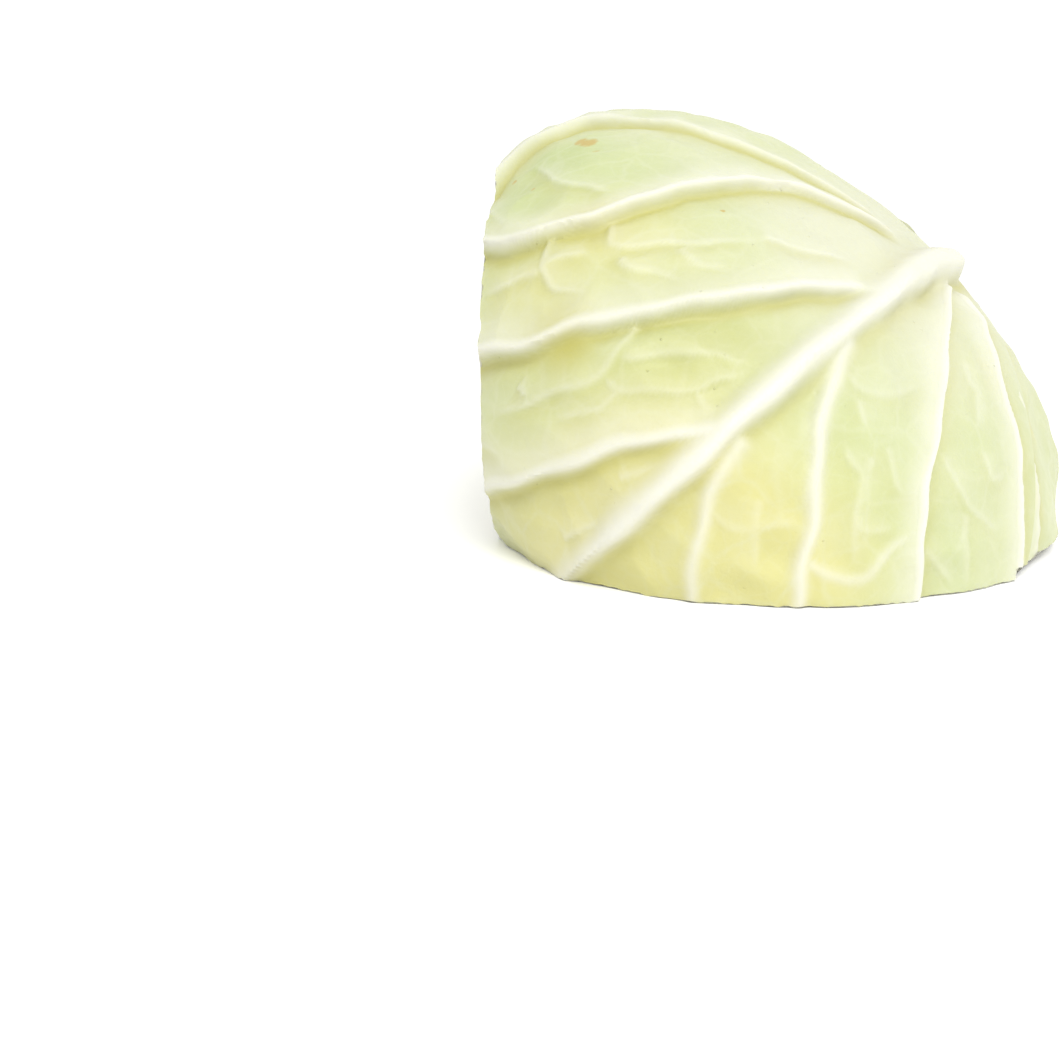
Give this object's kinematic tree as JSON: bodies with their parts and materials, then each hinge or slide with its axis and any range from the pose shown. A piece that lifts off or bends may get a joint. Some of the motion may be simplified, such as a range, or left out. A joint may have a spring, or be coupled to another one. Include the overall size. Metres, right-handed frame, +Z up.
{
  "type": "cut head of cabbage",
  "caption": "Large cut piece of a flat round cabbage head: packed leaves with a ribbed wrapper leaf outside, standing on its level cut face.",
  "frame": {"origin": "middle of the footprint's bounding box, on the surface that the level cut face stands on", "axes": "+Z up from the level cut; +Y away from the side of the wrapper leaf's midrib; +X from the upright cut towards the stem end"},
  "size_m": [0.1788, 0.2321, 0.1263],
  "materials": {
    "wrapper_leaf": "waxy pale green raw leaf with cream ribs, slightly moist",
    "head_leaf": "pale cream green raw leaf, moist where cut",
    "heart": "crumpled yellow cream young leaves, moist where cut",
    "stem": "dense white stem core, dry at the trimmed end"
  },
  "bodies": {
    "root": {"wrapper_leaf_1": "wrapper_leaf", "wrapper_leaf_2": "wrapper_leaf", "wrapper_leaf_3": "wrapper_leaf", "head_leaf_04": "head_leaf", "head_leaf_05": "head_leaf", "head_leaf_06": "head_leaf", "head_leaf_07": "head_leaf", "head_leaf_08": "head_leaf", "head_leaf_09": "head_leaf", "head_leaf_10": "head_leaf", "head_leaf_11": "head_leaf", "head_leaf_12": "head_leaf", "head_leaf_13": "head_leaf", "head_leaf_14": "head_leaf", "head_leaf_15": "head_leaf", "head_leaf_16": "head_leaf", "head_leaf_17": "head_leaf", "head_leaf_18": "head_leaf", "head_leaf_19": "head_leaf", "head_leaf_20": "head_leaf", "head_leaf_21": "head_leaf", "head_leaf_22": "head_leaf", "head_leaf_23": "head_leaf", "head_leaf_24": "head_leaf", "heart_bud": "heart", "core": "stem"}
  },
  "joints": []
}
